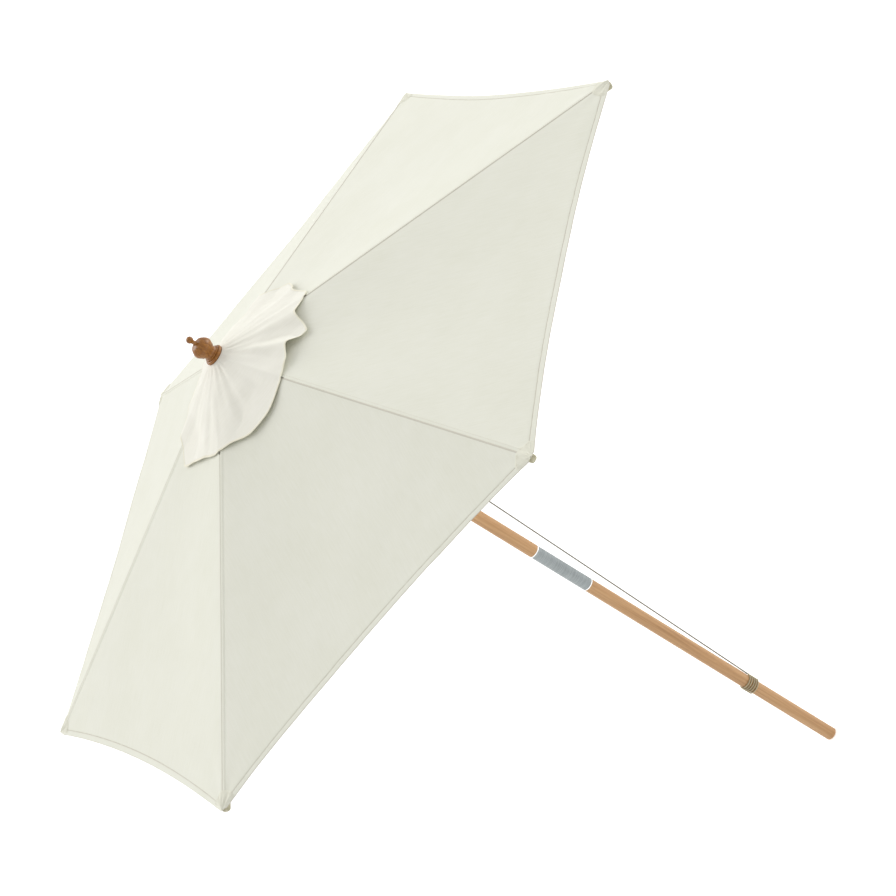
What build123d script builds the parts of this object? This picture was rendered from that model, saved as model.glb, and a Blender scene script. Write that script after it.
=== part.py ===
"""Six-rib wooden market umbrella: two-part pole, hub, runner, hinged ribs and struts, rope and pulley, canopy.

Millimetres. Origin at the centre of the pole's bottom end, +Z up the pole, the first rib along +X.
The umbrella stands open. Each rib lies in a vertical plane through the pole's axis.
"""

import os
from math import atan, cos, degrees, hypot, pi, radians, sin, sqrt, tan

from build123d import *

# Driving dimensions
RIBS = 6
CANOPY_R = 1200.0  # pole axis to a canopy corner: a 2.4 m umbrella
CORNER_Z = 1877.0  # canopy corners above the pole's bottom end
RIB_DROP = 16.0  # degrees that an open rib slopes down from the hub
POLE_R = 19.0
SLEEVE_FROM, SLEEVE_TO = 942.0, 1142.0  # the metal joint between the two halves of the pole
WINDING_FROM, WINDING_TO = 305.0, 349.0  # the rope wound round the lower pole
ROPE_R = 2.0
WRAP_R = POLE_R + 0.9  # inside of the rope's turns: a fitting can still slide up the pole
ROPE_SIDE = 30.0  # azimuth of the rope, midway between two ribs

# Hub and pivots
SLOPE = tan(radians(RIB_DROP))
CANOPY_PEAK = CORNER_Z + CANOPY_R * SLOPE  # where the sloping ridges would meet on the axis
PIVOT_R, PIVOT_BELOW = 42.0, 13.3  # rib pivots at the hub, and strut pivots at the runner
PIVOT_Z = CANOPY_PEAK - PIVOT_R * SLOPE - PIVOT_BELOW
PIN_R = 2.5
PIN_CLEARANCE = 0.06
NODE_GAP = 0.3  # between a rope's end and what it goes into
PAST = 5.0  # how far a cut runs past the surface it opens
HUB_R = 52.0
HUB_FROM, HUB_TO = PIVOT_Z - 21, PIVOT_Z + 23
HUB_SPIGOT_R = 14.0
SLOT_FROM = 30.5  # inner end of the hub's slots
SLOT_SIDE_GAP = 0.4  # each side of a rib in its slot

HUB_PIN_LENGTH = 30.0

# Ribs, brackets and struts
RIB_W, RIB_H = 14.0, 20.0
TIP_TOP, TIP_H = 9.0, 14.0  # the end cap's top, above the rib's centre line, and its height
RIB_LENGTH = (CANOPY_R - 9 - PIVOT_R) / cos(radians(RIB_DROP))
TIP_LENGTH, TIP_WALL, TIP_NECK = 26.0, 2.0, 20.0
BRACKET_AT = 550.0  # along the rib from its hub pivot
BRACKET_BELOW = 20.0  # strut pivot below the rib's centre line
PLATE = 2.0
CHEEK_GAP = 0.2
BRACKET_STUD_R = 2.0
STRUT_W, STRUT_H = 12.0, 14.0
STRUT_LENGTH = hypot(BRACKET_AT, BRACKET_BELOW)
STRUT_DROP = RIB_DROP + degrees(atan(BRACKET_BELOW / BRACKET_AT))

# Runner
RUNNER_PIVOT_Z = PIVOT_Z - 2 * STRUT_LENGTH * sin(radians(STRUT_DROP))
RUNNER_R = 50.0
RUNNER_FROM, RUNNER_TO = RUNNER_PIVOT_Z - 22, RUNNER_PIVOT_Z + 20
BUSH_BORE_R, BUSH_R, BUSH_BELOW = POLE_R + 0.4, 23.5, 8.0
RUNNER_SLOT_FROM = 33.0
STRUT_PIN_LENGTH = 28.0
ROPE_NOTCH_FROM, ROPE_NOTCH_W = 38.0, 8.0  # the rope's notch in the runner's rim
STRUT_SIDE_GAP = 0.6  # each side of a strut in its slot

# Pulley and rope
LIFT_R = 32.0  # the rope's rising run, beside the pole
RUN_R = 76.0  # the rope where it leaves the pulley, outside the runner
SHEAVE_ROPE_R = (RUN_R - LIFT_R) / 2
SHEAVE_AT = (RUN_R + LIFT_R) / 2
SHEAVE_R, SHEAVE_W = SHEAVE_ROPE_R + 1.5, 7.0
SHEAVE_Z = HUB_FROM - PLATE - SHEAVE_R - 2
AXLE_R, BLOCK_SCREW_R, SCREW_FIT = 3.0, 2.0, 0.02
BLOCK_SCREWS_AT, BLOCK_SCREW_LENGTH = (30.0, 45.0), 14.0

# Canopy and vent cap
CLOTH = 1.5
VENT_R = 150.0
CAP_R = 286.0  # the vent cap's corners
CAP_CLAMP_R = 30.0
SECTOR_GAP = 0.5
HEM_SAG = 30.0  # how far the hem curves in between two corners

# Crown and finial
SPACER_R, SPACER_H = 28.0, 12.0
CAP_Z = HUB_TO + SPACER_H + 0.2  # underside of the clamped cap
FINIAL_Z = CAP_Z + CLOTH + 0.2
STUD_R = 4.0
STUD_IN_POLE, STUD_IN_FINIAL = 38.0, 26.0

AZIMUTHS = [-k * 360 / RIBS for k in range(RIBS)]


def write(builder, node):
    builder.part.label = node
    export_step(builder.part, f"parts/{node}.step")


def around(azimuth, radius, z):
    return Vector(radius * cos(radians(azimuth)), radius * sin(radians(azimuth)), z)


def side_plane(azimuth, radius=0.0, z=0.0, drop=0.0):
    """A vertical plane through the axis: local X outwards and down by drop degrees, local Y upwards."""
    a, d = radians(azimuth), radians(drop)
    along = (cos(d) * cos(a), cos(d) * sin(a), -sin(d))
    return Plane(origin=around(azimuth, radius, z), x_dir=along, z_dir=(sin(a), -cos(a), 0))


def radial_plane(azimuth, radius, z):
    """Faces outwards from the axis, local X along the rim and local Y up."""
    a = radians(azimuth)
    return Plane(origin=around(azimuth, radius, z), x_dir=(-sin(a), cos(a), 0), z_dir=(cos(a), sin(a), 0))


def rib_plane(azimuth):
    return side_plane(azimuth, PIVOT_R, PIVOT_Z, RIB_DROP)


def strut_plane(azimuth):
    """At the strut's pivot on the rib, local X towards the pole and down."""
    pivot = rib_plane(azimuth).from_local_coords(Vector(BRACKET_AT, -BRACKET_BELOW, 0))
    a, d = radians(azimuth), radians(STRUT_DROP)
    along = (-cos(d) * cos(a), -cos(d) * sin(a), -sin(d))
    return Plane(origin=pivot, x_dir=along, z_dir=(sin(a), -cos(a), 0))


def pole_pieces():
    meeting = (SLEEVE_FROM + SLEEVE_TO) / 2
    spigot_r = 17.0
    screw_r, screw_length = 1.6, 14.0
    screw_plane = radial_plane(120, POLE_R, SLEEVE_FROM + 48)

    with BuildPart() as lower_pole:
        with BuildSketch():
            Circle(POLE_R)
        extrude(amount=SLEEVE_FROM)
        chamfer(lower_pole.edges().group_by(Axis.Z)[0], 3)
        chamfer(lower_pole.edges().group_by(Axis.Z)[-1], 0.8)
        with BuildSketch(Plane.XY.offset(SLEEVE_FROM)):
            Circle(spigot_r)
        extrude(amount=meeting - 2 - SLEEVE_FROM)
        with BuildSketch(screw_plane):
            Circle(screw_r + PIN_CLEARANCE)
        extrude(amount=-screw_length - 1, mode=Mode.SUBTRACT)
    write(lower_pole, "lower_pole")

    with BuildPart() as upper_pole:
        with BuildSketch(Plane.XY.offset(SLEEVE_TO)):
            Circle(POLE_R)
        extrude(amount=HUB_FROM - SLEEVE_TO)
        chamfer(upper_pole.edges().group_by(Axis.Z)[0], 0.8)
        with BuildSketch(Plane.XY.offset(SLEEVE_TO)):
            Circle(spigot_r)
        extrude(amount=meeting + 2 - SLEEVE_TO)
        chamfer(upper_pole.edges().group_by(Axis.Z)[0], 2)
        with BuildSketch(Plane.XY.offset(HUB_FROM)):
            Circle(HUB_SPIGOT_R)
        extrude(amount=HUB_TO - HUB_FROM)
        with BuildSketch(Plane.XY.offset(HUB_TO)):
            Circle(STUD_R + PIN_CLEARANCE)
        extrude(amount=-STUD_IN_POLE - 2, mode=Mode.SUBTRACT)
    write(upper_pole, "upper_pole")

    with BuildPart() as joint_sleeve:
        with BuildSketch(Plane.XY.offset(SLEEVE_FROM)):
            Circle(POLE_R)
            Circle(spigot_r + PIN_CLEARANCE, mode=Mode.SUBTRACT)
        extrude(amount=SLEEVE_TO - SLEEVE_FROM)
        rims = joint_sleeve.edges().filter_by(GeomType.CIRCLE)
        fillet([e for e in rims if e.radius > POLE_R - 0.5], 0.9)
        with BuildSketch(screw_plane):
            Circle(screw_r + PIN_CLEARANCE)
        extrude(amount=-4, mode=Mode.SUBTRACT)
    write(joint_sleeve, "joint_sleeve")

    with BuildPart() as sleeve_screw:
        with BuildSketch(screw_plane.offset(-0.3)):
            Circle(screw_r)
        extrude(amount=-screw_length)
    write(sleeve_screw, "sleeve_screw")


def top_hub_pieces():
    with BuildPart() as top_hub:
        with BuildSketch(Plane.XY.offset(HUB_FROM)):
            Circle(HUB_R)
        extrude(amount=HUB_TO - HUB_FROM)
        fillet(top_hub.edges().group_by(Axis.Z)[-1], 5)
        fillet(top_hub.edges().group_by(Axis.Z)[0], 3)
        with BuildSketch(Plane.XY.offset(HUB_FROM)):
            Circle(HUB_SPIGOT_R + PIN_CLEARANCE)
            with PolarLocations((SLOT_FROM + HUB_R + PAST) / 2, RIBS):
                Rectangle(HUB_R + PAST - SLOT_FROM, RIB_W + 2 * SLOT_SIDE_GAP)
        extrude(amount=HUB_TO - HUB_FROM, mode=Mode.SUBTRACT)
        for azimuth in AZIMUTHS:
            with BuildSketch(side_plane(azimuth, PIVOT_R, PIVOT_Z)):
                Circle(PIN_R + PIN_CLEARANCE / 2)
            extrude(amount=HUB_PIN_LENGTH / 2, both=True, mode=Mode.SUBTRACT)
        with BuildSketch(Plane.XY.offset(HUB_FROM)):
            for radius in BLOCK_SCREWS_AT:
                with Locations(around(ROPE_SIDE, radius, 0)):
                    Circle(BLOCK_SCREW_R + SCREW_FIT)
        extrude(amount=BLOCK_SCREW_LENGTH, mode=Mode.SUBTRACT)
    write(top_hub, "top_hub")

    with BuildPart() as hub_pins:
        for azimuth in AZIMUTHS:
            with BuildSketch(side_plane(azimuth, PIVOT_R, PIVOT_Z)):
                Circle(PIN_R)
            extrude(amount=HUB_PIN_LENGTH / 2 - 0.2, both=True)
    write(hub_pins, "hub_pins")


def crown_pieces():
    with BuildPart() as crown_spacer:
        with BuildSketch(Plane.XY.offset(HUB_TO)):
            Circle(SPACER_R)
            Circle(STUD_R + 0.3, mode=Mode.SUBTRACT)
        extrude(amount=SPACER_H)
        outer = crown_spacer.edges().group_by(Axis.Z)[-1].sort_by(SortBy.RADIUS)[-1]
        fillet(outer, 3)
    write(crown_spacer, "crown_spacer")

    # a turned acorn: moulded disc, grooved neck, bulb, stem and ball
    disc_r, neck_r, bulb_r, stem_r, ball_r = 29.5, 20.0, 30.0, 5.6, 9.5
    ball_z = 83.0
    ball_from = ball_z - sqrt(ball_r**2 - stem_r**2)
    with BuildPart() as finial:
        with BuildSketch(Plane.XZ):
            with BuildLine():
                Line((0, 0), (27, 0))
                ThreePointArc((27, 0), (disc_r, 4.5), (26.5, 9))
                Line((26.5, 9), (23.5, 9.6))
                ThreePointArc((23.5, 9.6), (24.3, 11.8), (23, 13.8))
                Line((23, 13.8), (21, 14.2))
                ThreePointArc((21, 14.2), (neck_r, 19.5), (22, 25.2))
                Line((22, 25.2), (24, 26))
                Spline(
                    (24, 26),
                    (bulb_r, 42.5),
                    (22, 58.5),
                    (stem_r + 1.5, 64.5),
                    tangents=((0.35, 1), (-1, 0.15)),
                )
                Line((stem_r + 1.5, 64.5), (stem_r, 67))
                Line((stem_r, 67), (stem_r, ball_from))
                ThreePointArc((stem_r, ball_from), (ball_r, ball_z), (0, ball_z + ball_r))
                Line((0, ball_z + ball_r), (0, 0))
            make_face()
        revolve(axis=Axis.Z)
        with BuildSketch():
            Circle(STUD_R + PIN_CLEARANCE)
        extrude(amount=STUD_IN_FINIAL + 2, mode=Mode.SUBTRACT)
    finial.part.position = (0, 0, FINIAL_Z)
    write(finial, "finial")

    with BuildPart() as finial_stud:
        with BuildSketch(Plane.XY.offset(HUB_TO - STUD_IN_POLE)):
            Circle(STUD_R)
        extrude(amount=FINIAL_Z + STUD_IN_FINIAL - HUB_TO + STUD_IN_POLE)
        chamfer(finial_stud.edges().filter_by(GeomType.CIRCLE), 0.8)
    write(finial_stud, "finial_stud")


def rib_pieces(azimuth, number):
    plane = rib_plane(azimuth)
    neck_end = RIB_LENGTH - TIP_LENGTH + TIP_NECK
    neck_from = RIB_LENGTH - TIP_LENGTH
    neck_top = TIP_TOP - TIP_WALL - 0.1
    neck_bottom = TIP_TOP - TIP_H + TIP_WALL + 0.1
    taper = 160.0
    stud_places = [(BRACKET_AT - 11, 2), (BRACKET_AT + 11, 2)]

    with BuildPart() as rib:
        with BuildSketch(plane):
            with BuildLine():
                Polyline(
                    (0, RIB_H / 2),
                    (neck_from, RIB_H / 2),
                    (neck_from, TIP_TOP - TIP_H),
                    (neck_from - taper, -RIB_H / 2),
                    (0, -RIB_H / 2),
                )
                ThreePointArc((0, -RIB_H / 2), (-RIB_H / 2, 0), (0, RIB_H / 2))
            make_face()
            Circle(PIN_R + PIN_CLEARANCE, mode=Mode.SUBTRACT)
        extrude(amount=RIB_W / 2, both=True)
        fillet([e for e in rib.edges().filter_by(GeomType.LINE) if e.length > 300], 1.5)
        with BuildSketch(plane):
            with Locations(((neck_from + neck_end) / 2, (neck_top + neck_bottom) / 2)):
                Rectangle(TIP_NECK, neck_top - neck_bottom)
        extrude(amount=RIB_W / 2 - TIP_WALL - 0.1, both=True)
        with BuildSketch(plane):
            with Locations(*stud_places):
                Circle(BRACKET_STUD_R + PIN_CLEARANCE)
        extrude(amount=RIB_W / 2, both=True, mode=Mode.SUBTRACT)
    write(rib, f"rib_{number}")

    with BuildPart() as rib_tip:
        with BuildSketch(plane):
            with BuildLine():
                Polyline(
                    (RIB_LENGTH - 6, TIP_TOP),
                    (neck_from + 0.1, TIP_TOP),
                    (neck_from + 0.1, TIP_TOP - TIP_H),
                    (RIB_LENGTH - 6, TIP_TOP - TIP_H),
                )
                ThreePointArc(
                    (RIB_LENGTH - 6, TIP_TOP - TIP_H),
                    (RIB_LENGTH, TIP_TOP - TIP_H / 2),
                    (RIB_LENGTH - 6, TIP_TOP),
                )
            make_face()
        extrude(amount=RIB_W / 2, both=True)
        with BuildSketch(plane):
            with Locations(((neck_from + neck_end) / 2, (neck_top + neck_bottom) / 2)):
                Rectangle(TIP_NECK + 0.4, neck_top - neck_bottom + 0.2)
        extrude(amount=RIB_W / 2 - TIP_WALL, both=True, mode=Mode.SUBTRACT)
    write(rib_tip, f"rib_tip_{number}")

    cheek_in = RIB_W / 2 + CHEEK_GAP
    bridge_y = -RIB_H / 2 - 0.2
    with BuildPart() as bracket:
        with BuildSketch(plane):
            with BuildLine():
                Polyline((BRACKET_AT - 18, 7), (BRACKET_AT + 18, 7), (BRACKET_AT + 18, bridge_y - PLATE))
                Line((BRACKET_AT + 18, bridge_y - PLATE), (BRACKET_AT + 7, -BRACKET_BELOW))
                ThreePointArc(
                    (BRACKET_AT + 7, -BRACKET_BELOW),
                    (BRACKET_AT, -BRACKET_BELOW - 7),
                    (BRACKET_AT - 7, -BRACKET_BELOW),
                )
                Line((BRACKET_AT - 7, -BRACKET_BELOW), (BRACKET_AT - 18, bridge_y - PLATE))
                Line((BRACKET_AT - 18, bridge_y - PLATE), (BRACKET_AT - 18, 7))
            make_face()
            with Locations((BRACKET_AT, -BRACKET_BELOW)):
                Circle(PIN_R + PIN_CLEARANCE, mode=Mode.SUBTRACT)
        extrude(amount=cheek_in + PLATE, both=True)
        with BuildSketch(plane):
            with Locations((BRACKET_AT, (7 + bridge_y) / 2)):
                Rectangle(60, 7 - bridge_y)
            with Locations((BRACKET_AT, bridge_y - PLATE - 20)):
                Rectangle(60, 40)
        extrude(amount=cheek_in, both=True, mode=Mode.SUBTRACT)
        for side in (1, -1):
            with BuildSketch(plane.offset(side * (cheek_in + PLATE))):
                with Locations(*stud_places):
                    Circle(BRACKET_STUD_R)
            extrude(amount=-side * (PLATE + 4))
    write(bracket, f"rib_bracket_{number}")


def strut_pieces(azimuth, number):
    plane = strut_plane(azimuth)
    ends = [(0, 0), (STRUT_LENGTH, 0)]
    pin_fit = 0.02
    with BuildPart() as strut:
        with BuildSketch(plane):
            with Locations((STRUT_LENGTH / 2, 0)):
                SlotCenterToCenter(STRUT_LENGTH, STRUT_H)
            with Locations(*ends):
                Circle(PIN_R + pin_fit, mode=Mode.SUBTRACT)
        extrude(amount=STRUT_W / 2, both=True)
        fillet([e for e in strut.edges().filter_by(GeomType.LINE) if e.length > 300], 1.5)
    write(strut, f"strut_{number}")

    with BuildPart() as pins:
        with BuildSketch(plane):
            Circle(PIN_R)
        extrude(amount=RIB_W / 2 + CHEEK_GAP + PLATE, both=True)
        with BuildSketch(plane):
            with Locations(ends[1]):
                Circle(PIN_R)
        extrude(amount=STRUT_PIN_LENGTH / 2, both=True)
    write(pins, f"strut_pins_{number}")


def runner_pieces():
    with BuildPart() as runner:
        with BuildSketch(Plane.XY.offset(RUNNER_FROM)):
            Circle(RUNNER_R)
        extrude(amount=RUNNER_TO - RUNNER_FROM)
        fillet(runner.edges().filter_by(GeomType.CIRCLE), 4)
        with BuildSketch(Plane.XY.offset(RUNNER_FROM)):
            Circle(BUSH_R + 0.1)
            with PolarLocations((RUNNER_SLOT_FROM + RUNNER_R + PAST) / 2, RIBS):
                Rectangle(RUNNER_R + PAST - RUNNER_SLOT_FROM, STRUT_W + 2 * STRUT_SIDE_GAP)
            with PolarLocations(LIFT_R, 1, start_angle=ROPE_SIDE):
                Circle(ROPE_R + 0.5)
            with PolarLocations((ROPE_NOTCH_FROM + RUNNER_R + PAST) / 2, 1, start_angle=ROPE_SIDE):
                Rectangle(RUNNER_R + PAST - ROPE_NOTCH_FROM, ROPE_NOTCH_W)
        extrude(amount=RUNNER_TO - RUNNER_FROM, mode=Mode.SUBTRACT)
        with BuildSketch(Plane.XY.offset(RUNNER_FROM)):
            with PolarLocations(PIVOT_R, RIBS):
                Rectangle(2 * PIN_R + 0.6, STRUT_PIN_LENGTH + 0.6)
        extrude(amount=RUNNER_PIVOT_Z + PIN_R + 0.3 - RUNNER_FROM, mode=Mode.SUBTRACT)
    write(runner, "runner")

    with BuildPart() as bush:
        with BuildSketch(Plane.XY.offset(RUNNER_FROM - BUSH_BELOW)):
            Circle(BUSH_R)
        extrude(amount=RUNNER_TO - RUNNER_FROM + BUSH_BELOW)
        with BuildSketch(Plane.XY.offset(RUNNER_TO + 0.1)):
            Circle(BUSH_R + 3)
        extrude(amount=PLATE)
        with BuildSketch(Plane.XY.offset(RUNNER_TO - 1)):
            Circle(BUSH_R)
        extrude(amount=2)
        with BuildSketch(Plane.XY.offset(RUNNER_FROM - BUSH_BELOW)):
            Circle(BUSH_BORE_R)
        extrude(amount=RUNNER_TO - RUNNER_FROM + 20, mode=Mode.SUBTRACT)
    write(bush, "runner_bush")


def pulley_pieces():
    plane = side_plane(ROPE_SIDE)
    inner = SHEAVE_W / 2 + 0.5
    plate_from, plate_to = 24.0, 64.0
    with BuildPart() as block:
        with BuildSketch(plane):
            with Locations((SHEAVE_AT, SHEAVE_Z)):
                Circle(9)
            with Locations((SHEAVE_AT, (SHEAVE_Z + HUB_FROM) / 2)):
                Rectangle(18, HUB_FROM - SHEAVE_Z)
            with Locations(((plate_from + plate_to) / 2, HUB_FROM - PLATE / 2)):
                Rectangle(plate_to - plate_from, PLATE)
        extrude(amount=inner + PLATE, both=True)
        with BuildSketch(plane):
            with Locations((SHEAVE_AT, SHEAVE_Z - 20)):
                Rectangle(80, 2 * (HUB_FROM - PLATE - SHEAVE_Z + 20))
        extrude(amount=inner, both=True, mode=Mode.SUBTRACT)
        with BuildSketch(plane):
            with Locations((SHEAVE_AT, SHEAVE_Z)):
                Circle(AXLE_R + SCREW_FIT)
        extrude(amount=inner + PLATE, both=True, mode=Mode.SUBTRACT)
        with BuildSketch(Plane.XY.offset(HUB_FROM - PLATE)):
            for radius in BLOCK_SCREWS_AT:
                with Locations(around(ROPE_SIDE, radius, 0)):
                    Circle(BLOCK_SCREW_R + SCREW_FIT)
        extrude(amount=PLATE, mode=Mode.SUBTRACT)
    write(block, "pulley_block")

    with BuildPart() as block_screws:
        with BuildSketch(Plane.XY.offset(HUB_FROM - PLATE)):
            for radius in BLOCK_SCREWS_AT:
                with Locations(around(ROPE_SIDE, radius, 0)):
                    Circle(BLOCK_SCREW_R)
        extrude(amount=BLOCK_SCREW_LENGTH)
    write(block_screws, "block_screws")

    with BuildPart() as axle:
        with BuildSketch(plane):
            with Locations((SHEAVE_AT, SHEAVE_Z)):
                Circle(AXLE_R)
        extrude(amount=inner + PLATE + 0.5, both=True)
    write(axle, "pulley_axle")

    centre = around(ROPE_SIDE, SHEAVE_AT, SHEAVE_Z)
    with BuildPart() as wheel:
        with BuildSketch(plane):
            with Locations((SHEAVE_AT, SHEAVE_Z)):
                Circle(SHEAVE_R)
                Circle(AXLE_R + PIN_CLEARANCE, mode=Mode.SUBTRACT)
        extrude(amount=SHEAVE_W / 2, both=True)
        with Locations(Plane(origin=centre, z_dir=plane.z_dir)):
            Torus(SHEAVE_ROPE_R, ROPE_R + 0.5, mode=Mode.SUBTRACT)
    write(wheel, "pulley_wheel")


def rope_pieces():
    plane = side_plane(ROPE_SIDE)
    with BuildPart() as winding:
        with BuildSketch(Plane.XY.offset(WINDING_FROM)):
            Circle(WRAP_R + 2 * ROPE_R)
            Circle(WRAP_R, mode=Mode.SUBTRACT)
        extrude(amount=WINDING_TO - WINDING_FROM)
        fillet(winding.edges().filter_by(GeomType.CIRCLE), 1.2)
    write(winding, "rope_winding")

    low = (WRAP_R + ROPE_R, WINDING_TO + NODE_GAP)
    lean = atan((RUN_R - low[0]) / (SHEAVE_Z - low[1]))
    leaves = (SHEAVE_AT + SHEAVE_ROPE_R * cos(lean), SHEAVE_Z - SHEAVE_ROPE_R * sin(lean))
    lean = atan((leaves[0] - low[0]) / (leaves[1] - low[1]))
    leaves = (SHEAVE_AT + SHEAVE_ROPE_R * cos(lean), SHEAVE_Z - SHEAVE_ROPE_R * sin(lean))
    with BuildPart() as run:
        with BuildLine(plane) as route:
            straight = Line(low, leaves)
            turn = ThreePointArc(leaves, (SHEAVE_AT, SHEAVE_Z + SHEAVE_ROPE_R), (LIFT_R, SHEAVE_Z))
        with BuildSketch(Plane(origin=route.line @ 0, z_dir=route.line % 0)):
            Circle(ROPE_R)
        sweep(path=route.line)
    write(run, "rope_run")
    length, section = straight.length + turn.length, pi * ROPE_R**2
    print(f"rope run {length:.0f} mm, tube volume over its section {run.part.volume / section:.0f} mm")

    with BuildPart() as lift:
        with BuildSketch(Plane.XY.offset(RUNNER_TO + NODE_GAP)):
            with Locations(around(ROPE_SIDE, LIFT_R, 0)):
                Circle(ROPE_R)
        extrude(amount=SHEAVE_Z - RUNNER_TO - NODE_GAP)
    write(lift, "rope_lift")

    knot_r = 4.5
    with BuildPart() as knot:
        with BuildSketch(Plane.XY.offset(RUNNER_FROM - knot_r)):
            with Locations(around(ROPE_SIDE, LIFT_R, 0)):
                Circle(ROPE_R)
        extrude(amount=RUNNER_TO - RUNNER_FROM + knot_r)
        with Locations(around(ROPE_SIDE, LIFT_R, RUNNER_FROM - knot_r - 0.2)):
            Sphere(knot_r)
    write(knot, "rope_knot")


def roof(corner_r, corner_z, inner_r, inner_z, thickness):
    """A hexagonal pyramid of cloth, flat between its ridges, of the given thickness measured upright."""
    with BuildPart() as shell:
        for below, mode in ((0, Mode.ADD), (thickness, Mode.SUBTRACT)):
            with BuildSketch(Plane.XY.offset(corner_z - below)):
                RegularPolygon(corner_r, RIBS)
            with BuildSketch(Plane.XY.offset(inner_z - below)):
                RegularPolygon(inner_r, RIBS)
            loft(mode=mode)
    return shell.part


def canopy_pieces():
    thickness = CLOTH / cos(radians(RIB_DROP))
    wide = CANOPY_R + 60
    whole = roof(wide, CANOPY_PEAK - wide * SLOPE, 100, CANOPY_PEAK - 100 * SLOPE, thickness)
    bottom, height = CORNER_Z - 60, 500
    hem_r = CANOPY_R * cos(radians(180 / RIBS)) - HEM_SAG
    half = radians(180 / RIBS)
    for number, azimuth in enumerate(AZIMUTHS, 1):
        a = radians(azimuth)
        with BuildPart() as canopy:
            add(whole)
            with BuildSketch(Plane.XY.offset(bottom)):
                with BuildLine():
                    corner = (CANOPY_R * cos(a), CANOPY_R * sin(a))
                    for side in (-1, 1):
                        middle = (hem_r * cos(a + side * half), hem_r * sin(a + side * half))
                        beyond = (CANOPY_R * cos(a + side * 2 * half), CANOPY_R * sin(a + side * 2 * half))
                        ThreePointArc(corner, middle, beyond)
                        Line(beyond, (0, 0))
                make_face()
                Circle(VENT_R, mode=Mode.SUBTRACT)
                apex = (SECTOR_GAP * cos(a), SECTOR_GAP * sin(a))
                reach = 2 * CANOPY_R
                far = [
                    (apex[0] + reach * cos(a + side * half), apex[1] + reach * sin(a + side * half))
                    for side in (-1, 1)
                ]
                with BuildLine():
                    Polyline(apex, far[0], far[1], close=True)
                make_face(mode=Mode.INTERSECT)
            extrude(amount=height, mode=Mode.INTERSECT)
        write(canopy, f"canopy_{number}")


def vent_cap():
    thickness = CLOTH * 1.05
    low = CANOPY_PEAK - CAP_R * SLOPE + 2.5 + thickness
    top = CAP_Z + CLOTH
    fall = (top - low) / (CAP_R - CAP_CLAMP_R)
    wide = CAP_R + 40
    shell = roof(wide, top - fall * (wide - CAP_CLAMP_R), CAP_CLAMP_R, top, thickness)
    with BuildPart() as cap:
        add(shell)
        with BuildSketch(Plane.XY.offset(low - 40)):
            RegularPolygon(CAP_R, RIBS)
            Circle(CAP_R - 12, mode=Mode.INTERSECT)
            Circle(STUD_R + 0.4, mode=Mode.SUBTRACT)
        extrude(amount=200, mode=Mode.INTERSECT)
    write(cap, "vent_cap")


if __name__ == "__main__":
    os.makedirs("parts", exist_ok=True)
    pole_pieces()
    top_hub_pieces()
    crown_pieces()
    pulley_pieces()
    runner_pieces()
    rope_pieces()
    for rib_number, rib_azimuth in enumerate(AZIMUTHS, 1):
        rib_pieces(rib_azimuth, rib_number)
        strut_pieces(rib_azimuth, rib_number)
    canopy_pieces()
    vent_cap()
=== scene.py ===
"""Looks of a six-rib wooden market umbrella: sewn canvas, turned wood, rope and metal."""

from math import atan2, cos, exp, hypot, pi, radians, sin, sqrt

import bmesh
import bpy
import numpy as np
from mathutils import Matrix, Vector, noise


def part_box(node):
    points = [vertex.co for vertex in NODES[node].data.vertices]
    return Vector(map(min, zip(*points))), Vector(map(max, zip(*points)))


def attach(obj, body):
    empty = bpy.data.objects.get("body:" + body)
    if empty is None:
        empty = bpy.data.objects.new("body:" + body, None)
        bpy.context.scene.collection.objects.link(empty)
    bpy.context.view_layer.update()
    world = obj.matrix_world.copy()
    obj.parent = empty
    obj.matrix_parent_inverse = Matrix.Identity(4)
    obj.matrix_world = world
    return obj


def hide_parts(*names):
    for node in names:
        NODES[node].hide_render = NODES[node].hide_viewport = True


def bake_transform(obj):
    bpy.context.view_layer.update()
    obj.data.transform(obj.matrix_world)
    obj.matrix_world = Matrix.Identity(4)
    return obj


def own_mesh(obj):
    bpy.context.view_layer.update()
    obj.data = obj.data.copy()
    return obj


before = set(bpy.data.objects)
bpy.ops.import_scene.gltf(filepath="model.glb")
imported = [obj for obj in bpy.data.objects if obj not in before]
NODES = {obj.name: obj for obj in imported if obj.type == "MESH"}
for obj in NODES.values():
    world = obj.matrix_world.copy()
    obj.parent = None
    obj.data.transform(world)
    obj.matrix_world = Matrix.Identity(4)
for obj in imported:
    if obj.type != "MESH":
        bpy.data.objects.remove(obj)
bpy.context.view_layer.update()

MM = 0.001
RIBS = 6
HALF = pi / RIBS
COS_HALF = cos(HALF)

# Sizes taken from the frame, in millimetres
CLOTH = 1.5
RIB_DROP = radians(16)
STRUT_DROP = radians(18.08)
canopy_low, canopy_high = (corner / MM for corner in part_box("canopy_1"))
CORNER_R = canopy_high.x
VENT_R = canopy_low.x / COS_HALF
CLOTH_UPRIGHT = CLOTH / cos(RIB_DROP)
SLOPE = (canopy_high.z - canopy_low.z - CLOTH_UPRIGHT) / (CORNER_R - VENT_R)
PEAK = canopy_high.z + VENT_R * SLOPE
cap_low, cap_high = (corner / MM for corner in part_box("vent_cap"))
CAP_R = cap_high.x
CAP_TOP = cap_high.z
CLAMP_R = 28.5
CAP_FALL = (CAP_TOP - cap_low.z - CLOTH_UPRIGHT) / (CAP_R - CLAMP_R)

# Sewing sizes, in millimetres. Gores are laid flat side by side, at the gore's own slope
GORE_SPACING = 1700.0
GORE_DROP = radians(18.3)
HEM_TURN = 18.0
HEM_SAG = 30.0
FOLD_GAP = 1.7
SEAM_WIDTH = 12.0
SEAM_RISE = 1.2
STITCH_PITCH, STITCH_LENGTH, THREAD = 6.0, 4.4, 0.9
PATCH_R = 50.0
PATCH_AT = CORNER_R - 5.5
BAND_EDGE = 12.6
SKIRT_FROM = 80.0
RIM_WIDTH = 3.2


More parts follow.
